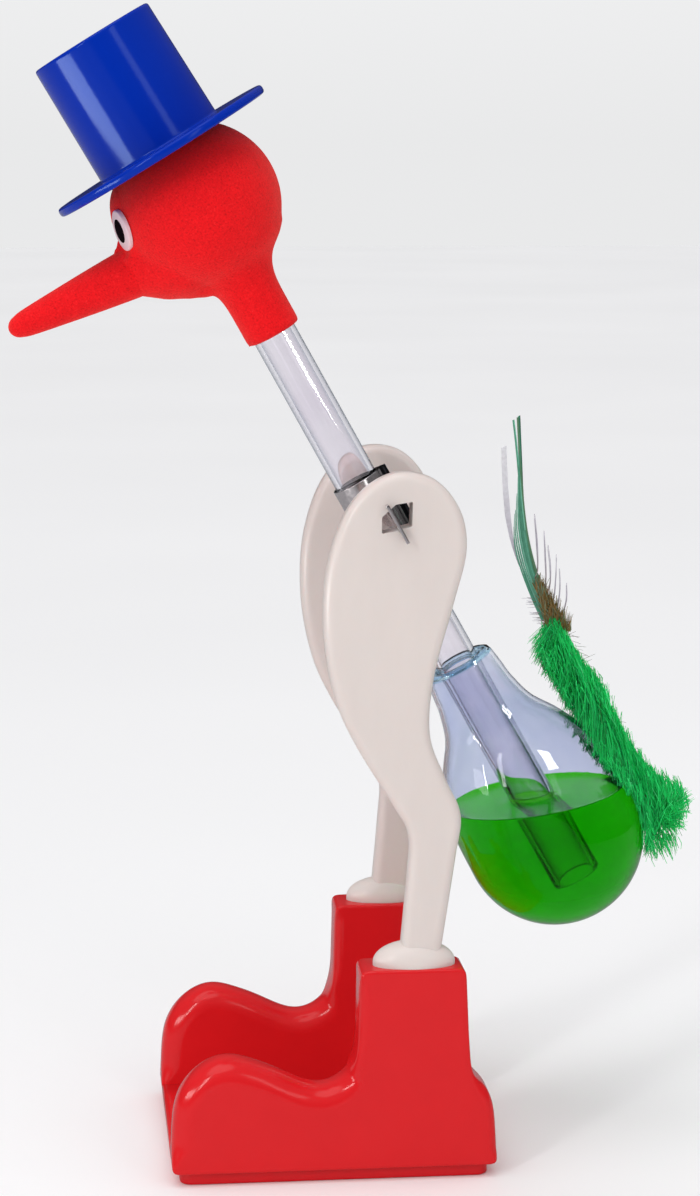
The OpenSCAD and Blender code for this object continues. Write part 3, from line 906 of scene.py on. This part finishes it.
beak_l = span("beak_cover", BEAK)[1][2]
beak_side = [[0, -3], [3.5, -3], [3.9, -1.5], [4.03, 0.3]]
beak_side += [[3.5, 0.3 * beak_l], [2.8, 0.6 * beak_l], [2.15, 0.85 * beak_l]]
beak_side += [[1.75, beak_l - 1.6], [1.3, beak_l - 0.65], [0.6, beak_l - 0.12], [0, beak_l]]
beak_side = spline(beak_side, 6)
beak_side[:, 0] = np.maximum(beak_side[:, 0], 0)
beak_side[0, 0] = beak_side[-1, 0] = 0
beak = piece("felt_beak", lathe(beak_side, 64), BEAK, FELT, sharp=180)
finish_piece(beak, "bird", "red_felt", "beak_cover")

face, disc_base = HEAD_R + EYE_OUT, HEAD_R - 0.3
seat_r, seat_base = EYE_R + 0.04, HEAD_R - 0.33
for name, at in eyes.items():
    disc = [(0, disc_base), (EYE_R, disc_base), (EYE_R, face - 0.12), (PUPIL_R, face), (0, face + 0.02)]
    disc = rounded(disc, [0.1, 0.25, 0.4])
    seat = [(0, seat_base), (seat_r, seat_base), (seat_r, CUT_OUT), (0, CUT_OUT)]
    combine(head, piece("seat", lathe(seat, 72), at, FELT), "DIFFERENCE", 50)
    eye = piece("eye_disc_" + name, lathe(disc, 72), at, EYE_WHITE)
    finish_piece(eye, "bird", "eye_white", "eye_" + name)
    drop = [(0, face - 0.1), (PUPIL_R, face - 0.1)]
    drop += [
        (PUPIL_R * math.cos(a), face - 0.02 + 0.3 * math.sin(a))
        for a in np.linspace(0.1, 1.5, 8)
    ]
    drop += [(0, face + 0.28)]
    dot = piece("pupil_dot_" + name, lathe(drop, 64), at, PUPIL)
    finish_piece(dot, "bird", "pupil_black", "pupil_" + name)

# ---- hat ----

hat_lo, hat_hi = span("top_hat", HAT)
BRIM_R, HALF_T, CROWN_TOP = hat_hi[0], -hat_lo[2], hat_hi[2]
FOOT_R, TOP_R, HAT_WALL = 10.4, 10.1, 1.2
CEILING = CROWN_TOP - HAT_WALL
hat_line = [(0, CEILING), (TOP_R - HAT_WALL, CEILING), (FOOT_R - HAT_WALL, -HALF_T), (BRIM_R, -HALF_T)]
hat_line += [(BRIM_R, HALF_T), (FOOT_R, HALF_T), (TOP_R, CROWN_TOP), (0, CROWN_TOP)]
hat_line = rounded(hat_line, [0.5, 0.25, 0.6, 0.6, 0.45, 0.55], 8)
hat = piece("hat_moulding", lathe(hat_line, 160), HAT, BLUE, sharp=50)
finish_piece(hat, "bird", "blue_plastic", "top_hat")

# ---- tail feather ----

rng = random.Random(7)
quill_line = spline([[15.3, -61], [15.6, -46], [16, -34], [17.3, -24], [20.2, -13], [27.2, 2.4]], 10)


def on_quill(z):
    """Y of the quill at height z."""
    return float(np.interp(z, quill_line[:, 1], quill_line[:, 0]))


strand = Strands()
strand.add([(0, y, z) for y, z in quill_line], 0.5, 0.16, 0.5, sides=10)
quill = strand.build("quill_shaft", BIRD, QUILL)
finish_piece(quill, "bird", "quill", "tail_quill")


def wavy(start, direction, length, droop, curl, n=5):
    """A short path from start, bent towards droop and, as much as curl says, to a random side."""
    p, d = Vector(start), Vector(direction).normalized()
    out = [p.copy()]
    side = Vector((rng.uniform(-1, 1), rng.uniform(-1, 1), rng.uniform(-1, 1)))
    for _ in range(n - 1):
        d = (d + side * curl / n + Vector(droop) / n).normalized()
        p = p + d * length / (n - 1)
        out.append(p.copy())
    return out


def between(line_a, line_b, share):
    """The line that lies this share of the way from one line to another."""
    return [Vector(a) * (1 - share) + Vector(b) * share for a, b in zip(line_a, line_b)]


def along(points, n, x=0.0):
    """n points spaced evenly on a smooth line given as [y, z]."""
    p = spline(points, 8)
    p = resampled(p, 0.1, closed=False)
    p = p[np.linspace(0, len(p) - 1, n).astype(int)]
    return [(x, float(y), float(z)) for y, z in p]


# The vane: dark strands at its stem, lighter ones out to its edge, a second stem, and a pale fringe
vane = Strands()
STEM_POINTS = 16
stem = [[16.8, -29], [17.3, -24.3], [18.1, -19], [21.1, -10.7], [24.3, -4], [27.5, 2.5]]
edge = [[15.1, -28], [15.3, -24.5], [16.1, -18.7], [17.4, -14.3], [20.4, -9.2], [23.9, -3.6]]
right, left = along(stem, STEM_POINTS), along(edge, STEM_POINTS)
for k in range(7):
    jitter = rng.uniform(-0.04, 0.04)
    line = [(x + jitter, y + 0.2 - 0.06 * k, z) for x, y, z in right]
    vane.add(line, 0.13, 0.05, 0.05 + 0.06 * k, 5)
for k in range(34):
    share = rng.uniform(0.05, 1.0) ** 1.3
    x = rng.uniform(-0.25, 0.25)
    line = [(p.x + x, p.y, p.z) for p in between(right, left, share)]
    last = max(7, int(STEM_POINTS * (1.0 - 0.32 * share)))
    shade = rng.uniform(0.26, 0.52)
    vane.add(line[:last], 0.15, 0.04, shade, 4)
second = along([[19.4, -14], [21.2, -9.6], [23.4, -4.6], [25.1, -0.6], [26.3, 2.4]], 10)
for k in range(4):
    line = [(x + 0.06 * k, y + 0.08 * k, z) for x, y, z in second]
    vane.add(line, 0.1, 0.06, 0.3 + 0.05 * k, 4)
pale = along([[16.1, -18.7], [17.3, -14.3], [20, -7.8], [21.5, -4.6], [23.5, -0.6]], 12)
for k in range(9):
    off = -0.11 * k
    line = [(x, y + off * min(1, i / 5), z) for i, (x, y, z) in enumerate(pale)]
    vane.add(line, 0.08, 0.06, 0.78, 4, tip_shade=1.0)
# Loose barbs on the rear side, each a bundle through a root, a middle and a tip
quills = [
    ([18.4, -20.6], [20.4, -16.6], [22, -12.9]),
    ([18.6, -23], [20.5, -19.3], [22.1, -15.9]),
    ([18.9, -23.8], [20.4, -21.1], [21.5, -18.3]),
    ([18.5, -25.9], [20.4, -23.1], [22, -20.3]),
    ([18.7, -27], [20.1, -25], [21.4, -22.5]),
    ([18.7, -28.7], [20.1, -27.2], [21.2, -25.2]),
]
for root, mid, tip in quills:
    for k in range(12):
        x, w = rng.uniform(-0.3, 0.3), rng.uniform(-0.25, 0.25)
        off = [mid[0] + 0.8 * w, mid[1] + w]
        line = along([[root[0] - 1.2, root[1] - 1], root, off, [tip[0] + w, tip[1] + 2 * w]], 8, x)
        vane.add(line, 0.08, 0.05, 0.74, 3, tip_shade=rng.uniform(0.8, 0.95))
# Short hairs in front of the shaft, then the brown fluff where vane and down meet
for _ in range(26):
    z = rng.uniform(-30, -24)
    start = (rng.uniform(-0.4, 0.4), 15.2 + 0.1 * (z + 30), z)
    path = wavy(start, (rng.uniform(-0.6, 0.6), -1, 0.5), rng.uniform(1.0, 2.3), (0, 0, 0.2), 0.3, 4)
    vane.add(path, 0.06, 0.03, rng.uniform(0.6, 0.75), tip_shade=0.9)
for _ in range(900):
    t = rng.random() ** 0.8
    z = -23 - 9 * t
    y = 16.6 - 1.9 * t + rng.uniform(0, 0.8 + 3.0 * t)
    start = (rng.uniform(-0.9, 0.9), y, z)
    way = (rng.uniform(-0.5, 0.5), rng.uniform(-0.1, 0.6), 1.0)
    path = wavy(start, way, rng.uniform(1.4, 3.0), (0, 0.1, 0), 0.4, 4)
    vane.add(path, 0.09, 0.03, rng.uniform(0.56, 0.68))
vane_barbs = vane.build("feather_vane", BIRD, VANE)
finish_piece(vane_barbs, "bird", "green_vane", "tail_vane")

# Front and rear outline of the down beside the bulb, at heights along the neck
DOWN_Z = [-71, -69, -67, -64, -61, -57, -51, -45, -42, -38, -33, -29, -26.5]
DOWN_FRONT = [12.6, 10.8, 11.2, 12.8, 13.4, 13.0, 11.2, 11.5, 11.5, 10.9, 10.7, 12.9, 14.4]
DOWN_REAR = [14.5, 19.6, 22.4, 23.1, 20.4, 18.9, 18.7, 18.8, 19.4, 18, 17.6, 17.9, 17.2]
down = Strands()


def glass_r(z):
    """Radius of the bulb's outside at height z."""
    return float(np.interp(z, bulb_side[::-1, 1], bulb_side[::-1, 0]))


def down_edges(z):
    """Y of the down's front and rear outline at height z."""
    return float(np.interp(z, DOWN_Z, DOWN_FRONT)), float(np.interp(z, DOWN_Z, DOWN_REAR))


def outside_glass(q):
    """The point q, moved out of the bulb if it lies inside."""
    r = math.hypot(q.x, q.y)
    clear = glass_r(q.z) + 0.25
    return Vector((q.x * clear / r, q.y * clear / r, q.z)) if r < clear else q


def barb(root, tip, bow, shade, tip_shade, n=4):
    """A soft barb that bows away from the straight line between its ends."""
    path = []
    for i in range(n):
        t = i / (n - 1)
        path.append(outside_glass(root.lerp(tip, t) + bow * 4 * t * (1 - t)))
    down.add(path, 0.085, 0.035, shade, tip_shade=tip_shade)


QUILL_END = -61


def shaft_y(z):
    """Y of the quill at height z, carried on rearwards below its end."""
    return on_quill(max(z, QUILL_END)) + 0.25 * max(0.0, QUILL_END - z)


TUFT = 1.7
MAX_SIDE = 8.5


def gathered(z):
    """The height z, drawn halfway to the nearest tuft."""
    tuft = TUFT * round(z / TUFT)
    return z + 0.5 * (tuft - z)


# Long barbs from the shaft: half of them forwards and down onto the glass, half rearwards and up
for _ in range(5600):
    z = -30.5 - 39.5 * rng.random()
    front, rear = down_edges(z)
    run = rng.uniform(3.5, 8.0)
    ragged = rng.uniform(-0.9, 0.3)
    lower = max(0.0, (-60 - z) / 10)
    if rng.random() < 0.5:
        out = rng.random() ** 1.5
        y = front + (shaft_y(z) - front) * out - ragged * 0.6 + 0.35 * math.sin(z * 2.3)
        z = gathered(z) if out < 0.3 else z
        root_z = min(z + run * 0.9, -29)
        clear = glass_r(z) + rng.uniform(0.4, 1.5)
        x = math.sqrt(max(0.0, clear**2 - y**2)) if y < clear else abs(rng.gauss(0, 1.6))
        x = min(x, MAX_SIDE) * rng.choice((-1, 1)) + rng.uniform(-0.8, 0.8)
        shade = rng.uniform(0.25, 0.7)
    else:
        out = rng.random() ** 0.7
        y = shaft_y(z) + (rear - shaft_y(z)) * out + ragged * 0.6 + 0.4 * out * math.sin(z * 1.7)
        z = gathered(z) if out > 0.7 else z
        root_z = max(z - run * (1 - 1.6 * lower), -69)
        x = rng.gauss(0, 1.7)
        shade = rng.uniform(0.4, 0.9)
    root_y = shaft_y(root_z) + rng.gauss(0, 0.5)
    root = Vector((x * 0.3 + rng.gauss(0, 0.5), root_y, root_z + rng.gauss(0, 0.4)))
    bow = Vector((0, 0.3, 0)) + Vector([rng.gauss(0, 0.22) for _ in range(3)])
    barb(root, Vector((x, y, z)), bow, shade, min(1.0, shade + rng.uniform(-0.1, 0.25)))
# Short barbs that fill the body of the down
for _ in range(3600):
    z = -31 - 39 * rng.random()
    front, rear = down_edges(z)
    y = rng.uniform(front + 1.2, rear - 0.9)
    clear = glass_r(z) + rng.uniform(0.4, 1.8)
    x = math.sqrt(max(0.0, clear**2 - y**2)) if y < clear else abs(rng.gauss(0, 1.5))
    start = Vector((min(x, MAX_SIDE) * rng.choice((-1, 1)), y, z))
    way = 1 if y > shaft_y(z) else -1
    reach = Vector((rng.gauss(0, 0.6), way * rng.uniform(0.1, 0.7), way * rng.uniform(1.2, 3.0)))
    bow = Vector([rng.gauss(0, 0.15) for _ in range(3)])
    shade = rng.uniform(0.35, 0.95)
    barb(start, start + reach, bow, shade, shade, 3)
# A few dark hairs that stick out at the rear
for _ in range(34):
    z = rng.uniform(-66, -30)
    start = (rng.uniform(-1, 1), on_quill(max(z, QUILL_END)), z)
    way = (rng.uniform(-0.7, 0.7), 1, rng.uniform(-1.0, 0.1))
    path = wavy(start, way, rng.uniform(3.2, 4.4), (0, 0, -0.3), 0.5, 6)
    down.add(path, 0.05, 0.025, rng.uniform(0.0, 0.15))
down_barbs = down.build("feather_down", BIRD, DOWN)
finish_piece(down_barbs, "bird", "green_down", "tail_down")

glue_lo, glue_hi = span("tail_glue", BIRD)
glue_z, glue_r = (glue_lo[2] + glue_hi[2]) / 2, (glue_hi[2] - glue_lo[2]) / 2
GLUE_H = 1.75
dab = [(0, -0.3), (glue_r * 0.97, -0.3), (glue_r, 0.1)]
dab += [(glue_r * math.cos(a) ** 0.8, GLUE_H * math.sin(a)) for a in np.linspace(0.15, 1.5, 12)]
dab += [(0, GLUE_H + 0.01)]
glue_place = BIRD @ moved(0, glue_lo[1], glue_z) @ turned(-90, "X")
glue = piece("glue_dab", lathe(dab, 48), glue_place, GLUE)
finish_piece(glue, "bird", "glue", "tail_glue")

# The two hidden nodes keep their CAD meshes
for node, material in (("head_bulb", GLASS), ("beak_core", CORE)):
    mesh = frame["nodes"][node].data
    mesh.materials.clear()
    mesh.materials.append(material)

# ---- floor, light, camera ----

# The floor is darker where a glossy part mirrors it than where it is looked at or seen through glass
floor_look = Look("pale_floor", (0.95, 0.95, 0.96), 0.7)
pale = floor_look.ramp(floor_look.noise(300, 2), (0.3, 0.95), (0.7, 0.98))
path_kind = floor_look.new("LightPath").outputs
mirrored = floor_look.math("SUBTRACT", path_kind["Is Glossy Ray"], path_kind["Is Transmission Ray"])
floor_look.colour(floor_look.mix(floor_look.math("MAXIMUM", mirrored), pale, (0.4, 0.4, 0.41)))
FAR, FLOOR_GAP = 4000, 0.00002
corners = [(-FAR, -FAR, 0), (FAR, -FAR, 0), (FAR, FAR, 0), (-FAR, FAR, 0)]
floor = piece("floor", (corners, [(0, 1, 2, 3)]), STAND, floor_look.m)
floor.location.z = -FLOOR_GAP

# A dome lights the scene, brighter overhead and dimmer in mirror reflections. The camera sees a plain
# backdrop instead, also through the glass, and its foot is as bright as the floor so that no horizon shows
world = bpy.data.worlds.new("studio")
bpy.context.scene.world = world
world.use_nodes = True
tree = world.node_tree
out_node = next(n for n in tree.nodes if n.type == "OUTPUT_WORLD")
dome = next(n for n in tree.nodes if n.type == "BACKGROUND")
kinds = "Background TexCoord SeparateXYZ ValToRGB ValToRGB Math MixShader LightPath Math".split()
new_nodes = [tree.nodes.new("ShaderNode" + kind) for kind in kinds]
seen, direction, split, height, backdrop, dim, blend, rays, through = new_nodes
for ramp, tint, stops in (
    (height, (1, 1, 1.02), ((0.02, 0.1), (0.62, 1.0))),
    (backdrop, (1, 1.003, 1.01), ((0.0, 0.815), (0.14, 0.93))),
):
    for item, (at, c) in zip(ramp.color_ramp.elements, stops):
        item.position, item.color = at, (*(c * k for k in tint), 1)
dim.operation, through.operation = "MULTIPLY_ADD", "MAXIMUM"
dim.inputs[1].default_value, dim.inputs[2].default_value = -0.6, 0.8
for a, b in (
    (direction.outputs["Generated"], split.inputs[0]),
    (split.outputs["Z"], height.inputs["Fac"]),
    (height.outputs["Color"], dome.inputs["Color"]),
    (split.outputs["Z"], backdrop.inputs["Fac"]),
    (backdrop.outputs["Color"], seen.inputs["Color"]),
    (rays.outputs["Is Glossy Ray"], dim.inputs[0]),
    (dim.outputs[0], dome.inputs["Strength"]),
    (rays.outputs["Is Camera Ray"], through.inputs[0]),
    (rays.outputs["Is Transmission Ray"], through.inputs[1]),
    (through.outputs[0], blend.inputs[0]),
    (dome.outputs[0], blend.inputs[1]),
    (seen.outputs[0], blend.inputs[2]),
    (blend.outputs[0], out_node.inputs["Surface"]),
):
    tree.links.new(a, b)


def heading(direction):
    """The rotation of a light or camera that looks in this direction."""
    return Vector(direction).to_track_quat("-Z", "Y").to_euler()


def softbox(name, at, aim, size, watts):
    """A soft rectangular light at one point, turned towards another; in metres."""
    lamp = bpy.data.lights.new(name, "AREA")
    lamp.shape, lamp.size, lamp.size_y = "RECTANGLE", size[0], size[1]
    lamp.energy = watts
    obj = placed(name, lamp)
    obj.location = at
    obj.rotation_euler = heading(Vector(aim) - Vector(at))
    return obj


def glint(name, aim, direction, distance, size, radiance):
    """A bright card that only shows as a highlight on glossy parts near the point aim."""
    at = Vector(aim) + Vector(direction).normalized() * distance
    card = softbox(name, at, aim, size, radiance * size[0] * size[1] * math.pi)
    card.visible_camera = card.visible_diffuse = card.visible_transmission = False
    return card


centre = (cad_box[0] + cad_box[1]) / 2
softbox("key", (0.5, -0.42, 0.36), centre, (0.06, 0.3), 0.95)
softbox("fill", (0.51, 0.27, 0.34), centre, (0.1, 0.3), 0.2)
hat_side = HAT @ Vector((0, 0, 10 * MM))
shoulder = BIRD @ Vector((0, 0, -42 * MM))
glint("table_card", hat_side, (0.44, -0.8, -0.42), 0.22, (0.12, 0.05), 9)
# Two windows that show in the glass only
glassware = bpy.data.collections.new("glassware")
for obj in (bulb, tube):
    glassware.objects.link(obj)
for name, direction, distance, size in (
    ("window_front", (0.45, -0.82, 0.3), 0.3, (0.04, 0.16)),
    ("window_rear", (0.63, 0.38, 0.67), 0.15, (0.03, 0.04)),
):
    card = glint(name, shoulder, direction, distance, size, 70)
    card.light_linking.receiver_collection = glassware
sun = bpy.data.lights.new("sky", "SUN")
sun.energy, sun.angle = 0.8, math.radians(50)
placed("sky", sun).rotation_euler = heading((-0.25, 0.2, -0.9))

camera = bpy.data.cameras.new("camera")
camera.sensor_width, camera.sensor_fit = 36, "AUTO"
camera.lens = 89.59
camera.clip_start, camera.clip_end = 0.01, 50
eye_point = placed("camera", camera)
eye_point.location = (0.46453, -0.04295, 0.16016)
pan, tilt = math.radians(5.85), math.radians(8.77)
eye_point.rotation_euler = heading(
    (-math.cos(pan) * math.cos(tilt), math.sin(pan) * math.cos(tilt), -math.sin(tilt))
)
bpy.context.scene.camera = eye_point
bpy.context.scene.view_settings.view_transform = "Standard"
# The fluid in the tube lies behind many surfaces of glass and fluid
bpy.context.scene.cycles.max_bounces = bpy.context.scene.cycles.transmission_bounces = 24
